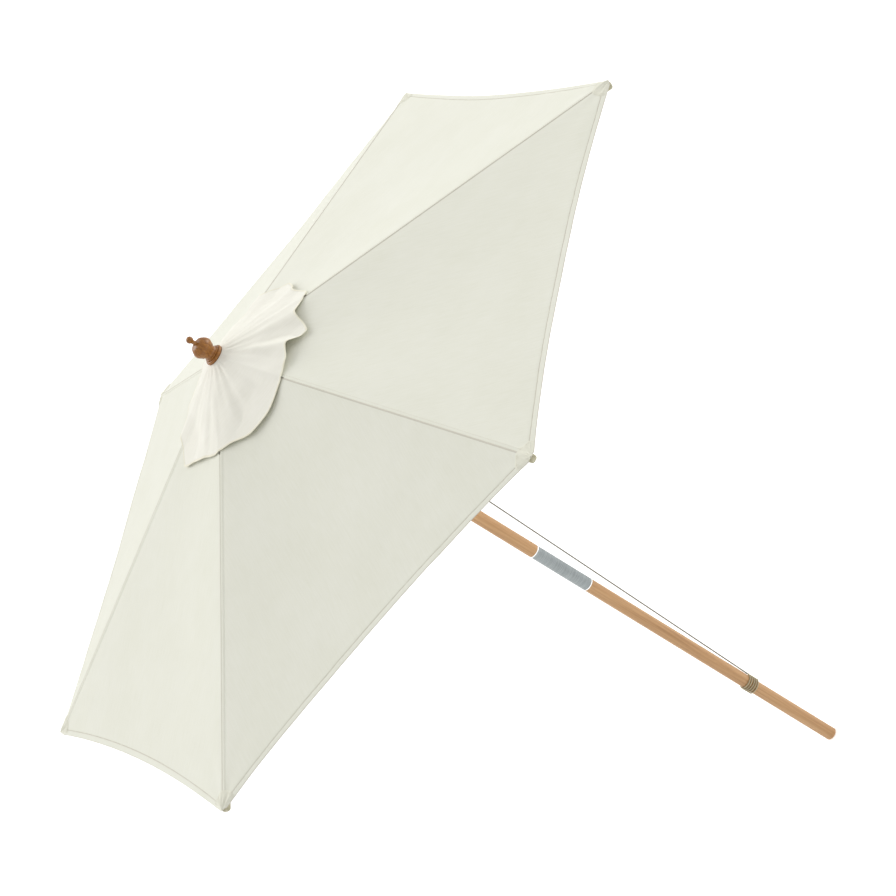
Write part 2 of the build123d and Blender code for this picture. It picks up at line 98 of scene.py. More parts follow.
def azimuth_of(rib):
    """The rib's direction in plan."""
    return -(rib - 1) * 2 * HALF


def gore_flat(x, t, azimuth):
    """Where a point of the canopy lies on its gore's flat cloth: along the hem, and up from it."""
    side = 1 if t > 0 else -1
    gore = azimuth + side * HALF
    number = round(gore / HALF) % (2 * RIBS)
    plan = turned(x, t, azimuth - gore)
    return plan[1] + number * GORE_SPACING, plan[0] / cos(GORE_DROP)


def turned(x, y, azimuth):
    """A plan point turned about the pole."""
    return x * cos(azimuth) - y * sin(azimuth), x * sin(azimuth) + y * cos(azimuth)


def smooth(t):
    """An eased step from 0 to 1."""
    t = min(max(t, 0.0), 1.0)
    return t * t * (3 - 2 * t)


# Materials


def linear(colour):
    """sRGB hex to linear RGBA."""
    parts = [int(colour[i : i + 2], 16) / 255 for i in (0, 2, 4)]
    return [p / 12.92 if p <= 0.04045 else ((p + 0.055) / 1.055) ** 2.4 for p in parts] + [1.0]


def add_node(tree, kind, inputs=None, **settings):
    """Adds a node, sets its properties, and links or sets its inputs."""
    made = tree.nodes.new(kind)
    for name, value in settings.items():
        setattr(made, name, value)
    for name, value in (inputs or {}).items():
        if isinstance(value, bpy.types.NodeSocket):
            tree.links.new(value, made.inputs[name])
        else:
            made.inputs[name].default_value = value
    return made


def new_material(name, **shader):
    """A material with one Principled shader, whose constant values are set on its own sockets."""
    made = bpy.data.materials.new(name)
    made.use_nodes = True
    tree = made.node_tree
    principled = tree.nodes["Principled BSDF"]
    for socket, value in shader.items():
        principled.inputs[socket.replace("_", " ")].default_value = value
    return made, tree, principled


def ramp(tree, factor, *stops):
    """Colour by factor, from stops of (position, colour)."""
    made = add_node(tree, "ShaderNodeValToRGB", {"Fac": factor})
    elements = made.color_ramp.elements
    for element, (position, colour) in zip(elements, (stops[0], stops[-1])):
        element.position, element.color = position, linear(colour)
    for position, colour in stops[1:-1]:
        elements.new(position).color = linear(colour)
    return made.outputs["Color"]


def noise_field(tree, vector, scale, detail, roughness=0.5):
    inputs = {"Vector": vector, "Scale": scale, "Detail": detail, "Roughness": roughness}
    return add_node(tree, "ShaderNodeTexNoise", inputs).outputs["Fac"]


def stretched(tree, vector, scale):
    """The vector scaled along each axis, so that a pattern on it is drawn out."""
    return add_node(tree, "ShaderNodeMapping", {"Vector": vector, "Scale": scale}).outputs["Vector"]


def maths(tree, operation, first, second=0.0):
    return add_node(tree, "ShaderNodeMath", {0: first, 1: second}, operation=operation).outputs[0]


def share_between(tree, value, low, high, most):
    """0 to most as the value goes from low to high."""
    inputs = {"Value": value, "From Min": low, "From Max": high, "To Max": most}
    return add_node(tree, "ShaderNodeMapRange", inputs).outputs[0]


def mixed(tree, share, first, second):
    made = add_node(tree, "ShaderNodeMix", {0: share, 6: first, 7: second}, data_type="RGBA")
    return made.outputs[2]


def bump(tree, principled, height, distance, strength=1.0, before=None):
    inputs = {"Height": height, "Distance": distance, "Strength": strength}
    if before is not None:
        inputs["Normal"] = before
    made = add_node(tree, "ShaderNodeBump", inputs)
    tree.links.new(made.outputs["Normal"], principled.inputs["Normal"])
    return made.outputs["Normal"]


def woven_canvas(name, light, shade, thread_mm):
    """Matt plain-weave canvas, with slubs along the weft and a faint fuzz that catches light."""
    made, tree, principled = new_material(
        name, Roughness=0.86, Sheen_Weight=0.12, Sheen_Roughness=0.5, Specular_IOR_Level=0.25
    )
    flat = add_node(tree, "ShaderNodeUVMap", uv_map="cloth").outputs["UV"]
    pitch = 2 * pi / (thread_mm * MM) / 20
    yarns = []
    for direction in "XY":
        inputs = {"Vector": flat, "Scale": pitch, "Distortion": 0.3}
        wave = add_node(tree, "ShaderNodeTexWave", inputs, bands_direction=direction)
        yarns.append(wave.outputs["Fac"])
    weave = maths(tree, "MULTIPLY", *yarns)
    # slubs: thicker stretches of weft yarn, about 4 mm by 60 mm
    slubs = noise_field(tree, stretched(tree, flat, (250, 16, 1)), 1.0, 3.0)
    # handling and weather leave broad soft clouds, about 200 mm across
    clouds = noise_field(tree, flat, 5.0, 4.0, 0.6)
    mottle = maths(tree, "MULTIPLY", maths(tree, "ADD", slubs, clouds), 0.5)
    colour = ramp(tree, mottle, (0.36, shade), (0.62, light))
    tree.links.new(colour, principled.inputs["Base Color"])
    first = bump(tree, principled, weave, 0.25 * MM, 0.5)
    bump(tree, principled, slubs, 0.5 * MM, 0.5, first)
    return made


def grained_wood(name, pale, warm, dark, azimuth, drop, shift, roughness=0.5, coat=0.0):
    """Steamed beech, sanded and oiled: straight grain along the stick, and short darker ray flecks."""
    made, tree, principled = new_material(
        name, Roughness=roughness, Coat_Weight=coat, Coat_Roughness=0.25, IOR=1.5
    )
    place = add_node(tree, "ShaderNodeTexCoord").outputs["Object"]
    # local X runs along the grain
    turn = {"Vector": place, "Rotation": (0, drop, azimuth), "Location": (shift, shift / 3, 0)}
    local = add_node(tree, "ShaderNodeMapping", turn, vector_type="TEXTURE").outputs["Vector"]
    # grain lines about 5 mm apart and 250 mm long
    grain = noise_field(tree, stretched(tree, local, (4, 190, 190)), 1.0, 5.0)
    # ray flecks about 1 mm wide and 9 mm long
    flecks = noise_field(tree, stretched(tree, local, (110, 900, 900)), 1.0, 2.0)
    # warmer patches, about 140 mm across
    patches = noise_field(tree, local, 7.0, 2.0)
    colour = ramp(tree, grain, (0.34, dark), (0.5, warm), (0.66, pale))
    colour = mixed(tree, share_between(tree, flecks, 0.6, 0.72, 0.35), colour, linear(dark))
    colour = mixed(tree, share_between(tree, patches, 0.35, 0.7, 0.4), colour, linear(warm))
    tree.links.new(colour, principled.inputs["Base Color"])
    first = bump(tree, principled, grain, 0.4 * MM, 0.35)
    bump(tree, principled, flecks, 0.1 * MM, 0.4, first)
    return made


def brushed_metal(name, pale, dark, lines, roughness, painted_highlight_ends=None):
    """Metal with fine brush lines, at lines per metre in X, Y and Z. The last argument is a tube's low and
    high end, where a narrow rim is painted near-white as a painted highlight."""
    made, tree, principled = new_material(name, Metallic=1.0, Roughness=roughness)
    place = add_node(tree, "ShaderNodeTexCoord").outputs["Object"]
    streaks = noise_field(tree, stretched(tree, place, lines), 1.0, 4.0)
    colour = ramp(tree, streaks, (0.35, dark), (0.65, pale))
    if painted_highlight_ends:
        low, high = painted_highlight_ends
        height = add_node(tree, "ShaderNodeSeparateXYZ", {"Vector": place}).outputs["Z"]
        from_middle = maths(tree, "ABSOLUTE", maths(tree, "SUBTRACT", height, (low + high) / 2))
        # painted highlight: a narrow rim at each end of the tube is painted near-white
        on_highlight_rim = maths(tree, "GREATER_THAN", from_middle, (high - low) / 2 - RIM_WIDTH * MM)
        colour = mixed(tree, on_highlight_rim, colour, linear("FAFBFB"))
    tree.links.new(colour, principled.inputs["Base Color"])
    uneven = {"Value": streaks, "To Min": roughness - 0.08, "To Max": roughness + 0.1}
    rough = add_node(tree, "ShaderNodeMapRange", uneven)
    tree.links.new(rough.outputs[0], principled.inputs["Roughness"])
    bump(tree, principled, streaks, 0.05 * MM, 0.5)
    return made


def moulded_plastic(name, pale, shade, roughness):
    """Moulded nylon: satin, with a fine orange-peel texture about 1.5 mm across."""
    made, tree, principled = new_material(name, Roughness=roughness, IOR=1.5)
    place = add_node(tree, "ShaderNodeTexCoord").outputs["Object"]
    peel = noise_field(tree, place, 650.0, 2.0)
    tone = noise_field(tree, place, 30.0, 2.0)
    colour = ramp(tree, tone, (0.35, shade), (0.65, pale))
    tree.links.new(colour, principled.inputs["Base Color"])
    bump(tree, principled, peel, 0.1 * MM, 0.4)
    return made


def twisted_fibre(name, pale, mid, dark, fibre_mm):
    """Laid polyester line or thread: fine filaments in lighter and darker tones."""
    made, tree, principled = new_material(name, Roughness=0.75, Sheen_Weight=0.2, Sheen_Roughness=0.4)
    place = add_node(tree, "ShaderNodeTexCoord").outputs["Object"]
    fibres = noise_field(tree, place, 1 / (fibre_mm * MM), 3.0, 0.7)
    colour = ramp(tree, fibres, (0.32, dark), (0.5, mid), (0.68, pale))
    tree.links.new(colour, principled.inputs["Base Color"])
    bump(tree, principled, fibres, 0.2 * MM, 0.6)
    return made


canvas = woven_canvas("off_white_woven_canvas", "F2F2E5", "EEEEDF", 0.9)
# painted light: a lighter copy of the canopy's canvas, for the light that falls on the cap
cap_canvas_painted_light = woven_canvas("off_white_cap_canvas_painted_light", "FBF9EE", "F6F4E7", 0.9)
# the cap's binding tape, partly painted shade: its warmer cream stands for the yellowish shade under the
# lifted hem
hem_tape_and_painted_shade = woven_canvas("cream_binding_tape_and_painted_shade", "F9F6E4", "F3EFD9", 1.2)
# painted shade: a darker copy of the canopy's canvas, for the shade along the seam's folded edge and the
# hem
painted_seam_shade = woven_canvas("off_white_canvas_painted_seam_shade", "DCD8CB", "D3CFC0", 0.9)
pocket_canvas = woven_canvas("cream_pocket_canvas", "EFEEDF", "E9E8D7", 1.2)
# painted shade: the pocket's sock is painted dark olive grey, for the shade at the corner's tip where the
# cloth turns down
sock_canvas_painted_shade = woven_canvas("pocket_sock_canvas_painted_shade", "B5B199", "A29D83", 1.2)
seam_thread = twisted_fibre("cream_sewing_thread", "EDEADC", "E2DECD", "CFCAB6", 0.5)
tack_thread = twisted_fibre("grey_bar_tack_thread", "9C998C", "7F7B6E", "5E5B50", 0.5)
turns_rope = twisted_fibre("beige_laid_polyester_rope", "CBC2A3", "AFA384", "786D50", 0.8)
# painted shade: the same rope as the turns, painted a darker grey along its free stretches, where it shows
# against the light
line_rope_painted_shade = twisted_fibre("laid_polyester_rope_painted_shade", "8E897A", "797467", "5D594D", 0.8)
pole_beech = grained_wood("oiled_beech_pole", "C29A6E", "B68C5F", "A67C51", 0, -pi / 2, 0.0)
finial_beech = grained_wood(
    "varnished_beech_finial", "AD742F", "98601D", "7A4A12", 0, -pi / 2, 0.31, roughness=0.45, coat=0.3
)
sleeve_ends = [corner.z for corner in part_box("joint_sleeve")]
sleeve_metal = brushed_metal(
    "brushed_anodised_aluminium", "9CA2A3", "7F8485", (12, 12, 900), 0.34, painted_highlight_ends=sleeve_ends
)
zinc_steel = brushed_metal("zinc_plated_steel", "B9BABD", "9A9CA0", (220, 220, 220), 0.34)
white_nylon = moulded_plastic("moulded_white_nylon", "E4E1D6", "D8D4C6", 0.42)
tip_nylon = moulded_plastic("moulded_olive_grey_nylon", "B7B298", "A59F84", 0.5)


def finish_node(name, material):
    """Puts a material on a carried-over node of the frame."""
    mesh = NODES[name].data
    mesh.materials.clear()
    mesh.materials.append(material)


def finish_frame():
    """Materials for the nodes that are carried over as they are."""
    for name in ("lower_pole", "upper_pole", "top_hub", "runner", "crown_spacer"):
        finish_node(name, pole_beech)
    finish_node("finial", finial_beech)
    finish_node("joint_sleeve", sleeve_metal)
    for name in ("sleeve_screw", "hub_pins", "finial_stud", "pulley_block", "block_screws", "pulley_axle"):
        finish_node(name, zinc_steel)
    for name in ("pulley_wheel", "runner_bush"):
        finish_node(name, white_nylon)
    for rib in range(1, RIBS + 1):
        azimuth = azimuth_of(rib)
        tones = ("CBA274", "BD925F", "A97E4E")
        for part, drop, shift in (("rib", RIB_DROP, 0.37), ("strut", -STRUT_DROP, 0.53)):
            wood = grained_wood(f"oiled_beech_{part}_{rib}", *tones, azimuth, drop, rib * shift)
            finish_node(f"{part}_{rib}", wood)
        finish_node(f"rib_bracket_{rib}", zinc_steel)
        finish_node(f"strut_pins_{rib}", zinc_steel)
        finish_node(f"rib_tip_{rib}", tip_nylon)


# Meshes


def sheet_mesh(name, grid, cloth_uv, materials, second_rows=(), second_columns=()):
    """A quad mesh from rows of points in millimetres, with the flat cloth's own coordinates as its UV
    map. The second material is on the rows and columns of faces named."""
    rows, columns = len(grid), len(grid[0])
    points = [tuple(c * MM for c in point) for row in grid for point in row]
    faces = []
    for i in range(rows - 1):
        for j in range(columns - 1):
            a = i * columns + j
            faces.append((a, a + 1, a + columns + 1, a + columns))
    mesh = bpy.data.meshes.new(name)
    mesh.from_pydata(points, [], faces)
    layer = mesh.uv_layers.new(name="cloth")
    flat = [(u * MM, v * MM) for row in cloth_uv for u, v in row]
    layer.data.foreach_set("uv", [c for loop in mesh.loops for c in flat[loop.vertex_index]])
    for material in materials:
        mesh.materials.append(material)
    for face in mesh.polygons:
        row, column = divmod(face.index, columns - 1)
        face.material_index = int(row in second_rows or column in second_columns)
    close_seams(mesh)
    mesh.polygons.foreach_set("use_smooth", [True] * len(mesh.polygons))
    made = bpy.data.objects.new(name, mesh)
    bpy.context.scene.collection.objects.link(made)
    return made


def close_seams(mesh):
    """Joins the points that lie on each other, as where a tube's seam meets or a row draws to a point."""
    shape = bmesh.new()
    shape.from_mesh(mesh)
    bmesh.ops.remove_doubles(shape, verts=shape.verts, dist=0.01 * MM)
    shape.to_mesh(mesh)
    shape.free()


def thicken(piece, thickness, offset=-1.0):
    """Gives a sheet its cloth thickness, applied to the mesh."""
    modifier = piece.modifiers.new("thickness", "SOLIDIFY")
    modifier.thickness = thickness * MM
    modifier.offset = offset
    modifier.use_even_offset = False
    apply_modifiers(piece)
    return piece


def apply_modifiers(piece):
    """Puts what the modifiers make into the piece's own mesh."""
    depsgraph = bpy.context.evaluated_depsgraph_get()
    baked = bpy.data.meshes.new_from_object(piece.evaluated_get(depsgraph))
    piece.modifiers.clear()
    piece.data = baked
    # a cut edge keeps its own shading, so that it doesn't darken the face beside it
    baked.set_sharp_from_angle(angle=radians(55))


# Main canopy


def hem_radius(alpha):
    """Plan radius of the hem at an angle from the nearest rib: an arc, curving in between corners."""
    chord_half = CORNER_R * sin(HALF)
    arc_r = (chord_half**2 + HEM_SAG**2) / (2 * HEM_SAG)
    centre = CORNER_R * COS_HALF - HEM_SAG + arc_r
    beta = HALF - abs(alpha)
    radius = centre * cos(beta) - sqrt(arc_r**2 - (centre * sin(beta)) ** 2)
    blunt = 5.0 * exp(-((CORNER_R * alpha / 9.0) ** 2))
    return radius - blunt


def canopy_height(x, t, azimuth):
    """Height of the cloth's upper face, x along the rib and t across it: taut, with a slight sag and
    creases."""
    radius, alpha = hypot(x, t), atan2(t, x)
    across = min(abs(alpha) / HALF, 1.0)
    flat = PEAK - SLOPE * radius * cos(HALF - abs(alpha)) / COS_HALF
    along = min(max((radius - VENT_R) / (CORNER_R * COS_HALF - VENT_R), 0.0), 1.0)
    sag = (3.0 + 9.0 * sin(pi * along)) * sin(across * pi / 2) ** 1.3
    # short creases that run in from the corner pockets
    from_corner = hypot(x - CORNER_R, t)
    bearing = atan2(abs(t), CORNER_R - x)
    crease = 1.7 * exp(-from_corner / 110.0) * sin(bearing * 11.0 + 0.4) * smooth(abs(t) / 14.0)
    # pull lines near the crown, and broad uneven tension
    crown = 1.2 * exp(-(radius - VENT_R) / 130.0) * sin(abs(alpha) * 21.0) * smooth(abs(t) / 14.0)
    plan = turned(x, t, azimuth)
    broad = 2.2 * noise.noise(Vector((plan[0] / 260.0, plan[1] / 260.0, 0.7)))
    fine = 0.7 * noise.noise(Vector((plan[0] / 70.0, plan[1] / 70.0, 3.1)))
    rib_hold = smooth(abs(t) / 40.0)
    return flat - sag + crease + crown + (broad + fine) * rib_hold


def seam_rise(t, hem_distance):
    """The felled seam that lies to one side of the rib, and the dip along the hem's stitching."""
    on_seam = smooth((t + 0.6) / 1.2) * (1 - smooth((t - SEAM_WIDTH + 0.6) / 1.2))
    stitched = -0.35 * (exp(-(((t - 2.6) / 1.2) ** 2)) + exp(-(((t - 9.6) / 1.2) ** 2)))
    hem_dip = -0.8 * exp(-(((hem_distance - HEM_TURN + 1.5) / 1.6) ** 2))
    pucker = 0.35 * cos(abs(t) / 9.0) * exp(-(((hem_distance - HEM_TURN + 1.5) / 9.0) ** 2))
    pucker *= 1 - smooth((abs(t) - 380) / 110)
    return SEAM_RISE * on_seam + stitched * on_seam + hem_dip + pucker


# Distances across the rib and in from the hem's edge, close together where the seams step
SEAM_COLUMNS = (
    *(-60, -38, -24, -16, -BAND_EDGE, -7, -2.5, -0.6, 0.6, 1.6, 2.6),
    *(3.8, 6, 8.4, 9.6, 10.8, 11.4, BAND_EDGE, 16, 26, 40, 60),
)
PANEL_COLUMNS = 26
HEM_ROWS = (0.0, 1.2, 4.0, 9.0, 13.5, 15.2, 16.5, 17.8, 20.0, 26.0)
PANEL_ROWS = 104


def hem_point(t_wanted):
    """The hem's plan point at a distance across from the rib."""
    alpha = t_wanted / CORNER_R
    for _ in range(12):
        alpha = atan2(t_wanted, hem_radius(alpha) * cos(alpha))
    radius = hem_radius(alpha)
    return radius * cos(alpha), radius * sin(alpha)


def canopy_columns():
    """Inner and hem ends of each column of the grid, from one mid-gore line across the rib to the other."""
    edge = SEAM_COLUMNS[-1]
    inner_edge = 0.5 * edge
    columns = []
    panel = []
    for i in range(1, PANEL_COLUMNS + 1):
        share = i / PANEL_COLUMNS
        hem_from = atan2(*reversed(hem_point(edge)))
        inner_from = inner_edge / VENT_R
        hem_alpha = hem_from + (HALF - hem_from) * share
        inner_alpha = inner_from + (HALF - inner_from) * share
        radius = hem_radius(hem_alpha)
        inner = (VENT_R * cos(inner_alpha), VENT_R * sin(inner_alpha))
        panel.append((inner, (radius * cos(hem_alpha), radius * sin(hem_alpha))))
    for inner, outer in reversed(panel):
        columns.append(((inner[0], -inner[1]), (outer[0], -outer[1])))
    for t in SEAM_COLUMNS:
        # the outermost columns draw together towards the vent, the seam itself keeps its width
        spread = min((edge - abs(t)) / (edge - SEAM_WIDTH - 1), 1.0)
        inner_t = t * (0.5 + 0.5 * spread)
        columns.append(((sqrt(VENT_R**2 - inner_t**2), inner_t), hem_point(t)))
    columns.extend(panel)
    return columns


def canopy_pieces(rib):
    """One rib's share of the canopy, out to the middle of each gore, with its hem turned under: the
    cloth on one side, the band over the rib, which holds the felled seam, and the other side."""
    azimuth = azimuth_of(rib)
    columns = canopy_columns()
    grid, flat = [], []
    fold = [-d for d in reversed(HEM_ROWS[1:8])]
    for k in range(len(fold) + len(HEM_ROWS) + PANEL_ROWS):
        row, flat_row = [], []
        for inner, outer in columns:
            length = hypot(outer[0] - inner[0], outer[1] - inner[1])
            if k < len(fold):
                distance, under = -fold[k], True
            elif k < len(fold) + len(HEM_ROWS):
                distance, under = HEM_ROWS[k - len(fold)], False
            else:
                share = (k - len(fold) - len(HEM_ROWS) + 1) / PANEL_ROWS
                distance, under = HEM_ROWS[-1] + (length - HEM_ROWS[-1]) * share, False
            part = distance / length
            x = outer[0] + (inner[0] - outer[0]) * part
            t = outer[1] + (inner[1] - outer[1]) * part
            z = canopy_height(x, t, azimuth)
            if under:
                z -= FOLD_GAP
            else:
                z += seam_rise(t, distance) - (0.85 if distance == 0 else 0)
            row.append((*turned(x, t, azimuth), z))
            across, up = gore_flat(x, t, azimuth)
            flat_row.append((across, up + 2 * HEM_TURN * under))
        grid.append(row)
        flat.append(flat_row)

    left = PANEL_COLUMNS + SEAM_COLUMNS.index(-BAND_EDGE)
    right = PANEL_COLUMNS + SEAM_COLUMNS.index(BAND_EDGE)
    # painted shade: the hem's edge and its sewn groove are in a darker tone, as is the seam's folded edge,
    # for the shade in these folds
    painted_shade_rows = (len(fold) - 1, len(fold), len(fold) + 5, len(fold) + 6)
    painted_shade_from = PANEL_COLUMNS + SEAM_COLUMNS.index(-2.5) - left
    pieces = []
    spans = (("side_a", 0, left), ("band", left, right), ("side_b", right, len(columns) - 1))
    for part, first, last in spans:
        piece = sheet_mesh(
            f"canopy_{part}_{rib}",
            [row[first : last + 1] for row in grid],
            [row[first : last + 1] for row in flat],
            [canvas, painted_seam_shade],
            painted_shade_rows,
            range(painted_shade_from, painted_shade_from + 3) if part == "band" else (),
        )
        pieces.append(thicken(piece, 0.8))
    return pieces


def fold_with(piece, rib):
    """The piece rides its rib, and keeps its own copy of its mesh."""
    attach(piece, f"rib_{rib}")
    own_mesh(piece)


# Stitches


def stitch_tree():
    """Geometry nodes: thread stitches at a set pitch along the sewing lines."""
    tree = bpy.data.node_groups.new("stitches_on_lines", "GeometryNodeTree")
    kinds = {"Geometry": "Geometry", "Pitch": "Float", "Length": "Float", "Thread": "Float"}
    kinds["Material"] = "Material"
    for name, kind in kinds.items():
        tree.interface.new_socket(name, in_out="INPUT", socket_type=f"NodeSocket{kind}")
    tree.interface.new_socket("Geometry", in_out="OUTPUT", socket_type="NodeSocketGeometry")
    given = add_node(tree, "NodeGroupInput").outputs
    line = add_node(tree, "GeometryNodeMeshToCurve", {"Mesh": given["Geometry"]})
    spacing = {"Curve": line.outputs[0], "Length": given["Pitch"]}
    points = add_node(tree, "GeometryNodeCurveToPoints", spacing, mode="LENGTH")
    along = {"Vector": points.outputs["Tangent"]}
    turn = add_node(tree, "FunctionNodeAlignRotationToVector", along, axis="Z")
    bead = add_node(tree, "GeometryNodeMeshUVSphere", {"Segments": 6, "Rings": 4, "Radius": 0.5})
    sides = {"X": given["Thread"], "Y": given["Thread"], "Z": given["Length"]}
    size = add_node(tree, "ShaderNodeCombineXYZ", sides)
    each = {
        "Points": points.outputs["Points"],
        "Instance": bead.outputs["Mesh"],
        "Rotation": turn.outputs[0],
        "Scale": size.outputs[0],
    }
    placed = add_node(tree, "GeometryNodeInstanceOnPoints", each)
    real = add_node(tree, "GeometryNodeRealizeInstances", {"Geometry": placed.outputs[0]})
    look = {"Geometry": real.outputs[0], "Material": given["Material"]}
    finished = add_node(tree, "GeometryNodeSetMaterial", look)
    add_node(tree, "NodeGroupOutput", {"Geometry": finished.outputs[0]})
    return tree


def stitched(name, lines, tree, material):
    """Stitches along lines of points in millimetres, as one plain mesh."""
    points, edges = [], []
    for line in lines:
        start = len(points)
        points.extend(tuple(c * MM for c in point) for point in line)
        edges.extend((start + i, start + i + 1) for i in range(len(line) - 1))
    mesh = bpy.data.meshes.new(name)
    mesh.from_pydata(points, edges, [])
    made = bpy.data.objects.new(name, mesh)
    bpy.context.scene.collection.objects.link(made)
    modifier = made.modifiers.new("stitches", "NODES")
    modifier.node_group = tree
    sizes = {"Pitch": STITCH_PITCH * MM, "Length": STITCH_LENGTH * MM, "Thread": THREAD * MM}
    sizes["Material"] = material
    for socket in tree.interface.items_tree:
        if socket.name in sizes and socket.in_out == "INPUT":
            modifier[socket.identifier] = sizes[socket.name]
    apply_modifiers(made)
    return made


def seam_lines(rib):
    """Two rows of stitches along the felled seam."""
    azimuth = azimuth_of(rib)
    lines = []
    for t in (2.6, 9.6):
        seam = []
        steps = 90
        for i in range(steps + 1):
            x = VENT_R + 4 + (CORNER_R - 30 - VENT_R) * i / steps
            z = canopy_height(x, t, azimuth) + SEAM_RISE - 0.1
            seam.append((*turned(x, t, azimuth), z))
        lines.append(seam)
    return lines


def hem_line(rib, side):
    """The hem's row of stitches, from the seam band to the middle of the gore on one side."""
    azimuth = azimuth_of(rib)
    steps, line = 60, []
    start = (BAND_EDGE + 2) / CORNER_R
    for i in range(steps + 1):
        alpha = side * (start + (HALF - start) * i / steps)
        radius = hem_radius(alpha) - (HEM_TURN - 1.5) * (1 + 0.7 * exp(-((alpha / 0.02) ** 2)))
        x, t = radius * cos(alpha), radius * sin(alpha)
        line.append((*turned(x, t, azimuth), canopy_height(x, t, azimuth) - 0.35))
    return line


# Corner pockets


def corner_patch(rib):
    """The rounded reinforcement on top of a corner, puffed over the rib's end and rolled over the edge."""
    azimuth = azimuth_of(rib)
    rings, spokes = 16, 44
    rows, flat = [], []
    for i in range(rings + 1):
        row, flat_row = [], []
        for j in range(spokes + 1):
            side = 2 * j / spokes - 1
            reach = PATCH_R * (i / rings) ** 0.9
            wedge = radians(54.0) + radians(3.0) * reach / PATCH_R
            bearing = side * wedge
            x = PATCH_AT - reach * cos(bearing)
            t = reach * sin(bearing)
            rim = smooth((reach - PATCH_R + 5) / 5)
            puff = 2.6 * exp(-((t / 10.0) ** 2)) * smooth((PATCH_R - reach) / 30)
            gathers = 0.9 * sin(bearing * 13 + rib) * smooth(reach / 12) * smooth((PATCH_R - reach) / 14)
            lift = 1.9 * (1 - rim) + 0.4 * rim + puff + gathers
            rolled = 5.0 * (1 - smooth((1 - abs(side)) * reach / 5.0)) if i else 0.0
            z = canopy_height(x, t, azimuth) + lift - rolled * 0.7
            outward = 1.6 * (1 - smooth((1 - abs(side)) * reach / 5.0)) if i else 1.0
            x += outward * 0.6
            t += outward * (1 if side > 0 else -1)
            row.append((*turned(x, t, azimuth), z))
            flat_row.append((t, reach))
        rows.append(row)
        flat.append(flat_row)
    piece = sheet_mesh(f"corner_pocket_patch_{rib}", rows, flat, [pocket_canvas])
    return thicken(piece, 0.9)


def corner_sock(rib):
    """The pocket itself: a sewn sock over the rib's plastic end, closed and rounded outside."""
    azimuth = azimuth_of(rib)
    length, rings, around = 46.0, 18, 28
    half_wide, half_high = 10.4, 10.2
    rows, flat = [], []
    for i in range(rings + 1):
        share = i / rings
        along = CORNER_R - 9.0 - length * share
        dome = sqrt(1 - max(0.0, 1 - share * length / 9.0) ** 2)
        mouth = 1 + 0.07 * smooth((share - 0.8) / 0.2)
        row, flat_row = [], []
        for j in range(around + 1):
            angle = 2 * pi * j / around
            c, s = cos(angle), sin(angle)
            crease = 1 + 0.03 * sin(5 * angle + rib) * share
            across = half_wide * dome * mouth * crease * abs(c) ** 0.6 * (1 if c > 0 else -1)
            up = half_high * dome * mouth * abs(s) ** 0.6 * (1 if s > 0 else -1)
            middle = canopy_height(along, 0, azimuth) - half_high - 0.9
            row.append((*turned(along, across, azimuth), middle + up))
            flat_row.append((angle * half_wide, share * length))
        rows.append(row)
        flat.append(flat_row)
    piece = sheet_mesh(f"corner_pocket_sock_{rib}", rows, flat, [sock_canvas_painted_shade])
    return thicken(piece, 0.8, 0.0)


def patch_stitch_line(rib):
    """The row of stitches round the reinforcement, inside its rim."""
    azimuth = azimuth_of(rib)
    steps, line = 40, []
    for i in range(steps + 1):
        bearing = radians(50) * (2 * i / steps - 1)
        reach = PATCH_R - 6
        x, t = PATCH_AT - reach * cos(bearing), reach * sin(bearing)
        line.append((*turned(x, t, azimuth), canopy_height(x, t, azimuth) + 2.0))
    return line


# Vent cap


# The hem as (azimuth in degrees, plan radius), going round. Where it is drawn in, the cloth lifts in a wave
CAP_HEM = (
    *((4, 279), (20, 256), (38, 279), (55, 246), (67, 283), (84, 260), (98, 284), (114, 244)),
    *((127, 276), (143, 254), (160, 280), (178, 250), (195, 292), (209, 264), (222, 256), (236, 265)),
    *((251, 261), (265, 277), (281, 280), (298, 268), (312, 252), (323, 238), (332, 274), (349, 244)),
)


def cap_hem_radius(phi):
    """Plan radius of the cap's hem, eased from point to point."""
    degrees = (phi * 180 / pi) % 360
    places = [*CAP_HEM, (CAP_HEM[0][0] + 360, CAP_HEM[0][1])]
    if degrees < places[0][0]:
        degrees += 360
    for (a, r), (b, q) in zip(places, places[1:]):
        if a <= degrees <= b:
            part = (degrees - a) / (b - a)
            # the hem's points are sharper than the hollows between them
            eased = part**1.5 if q > r else 1 - (1 - part) ** 1.5
            return r + (q - r) * (0.55 * eased + 0.45 * smooth(part))
    return places[0][1]


# folds that start under the finial: azimuth in degrees, width in degrees, depth in millimetres
CAP_FOLDS = (
    (-104, 7.0, 3.0), (-90, 5.0, 4.4), (-77, 6.5, 2.6), (-38, 7.5, 2.2), (-20, 5.5, 3.8), (-5, 8.0, 2.6),
    (22, 7.0, 3.0), (46, 9.0, 2.4), (75, 7.0, 3.4), (106, 9.0, 2.6), (133, 7.0, 3.4), (160, 9.0, 2.4),
    (-170, 7.0, 3.4), (-146, 9.0, 2.6), (-126, 7.0, 3.0),
)


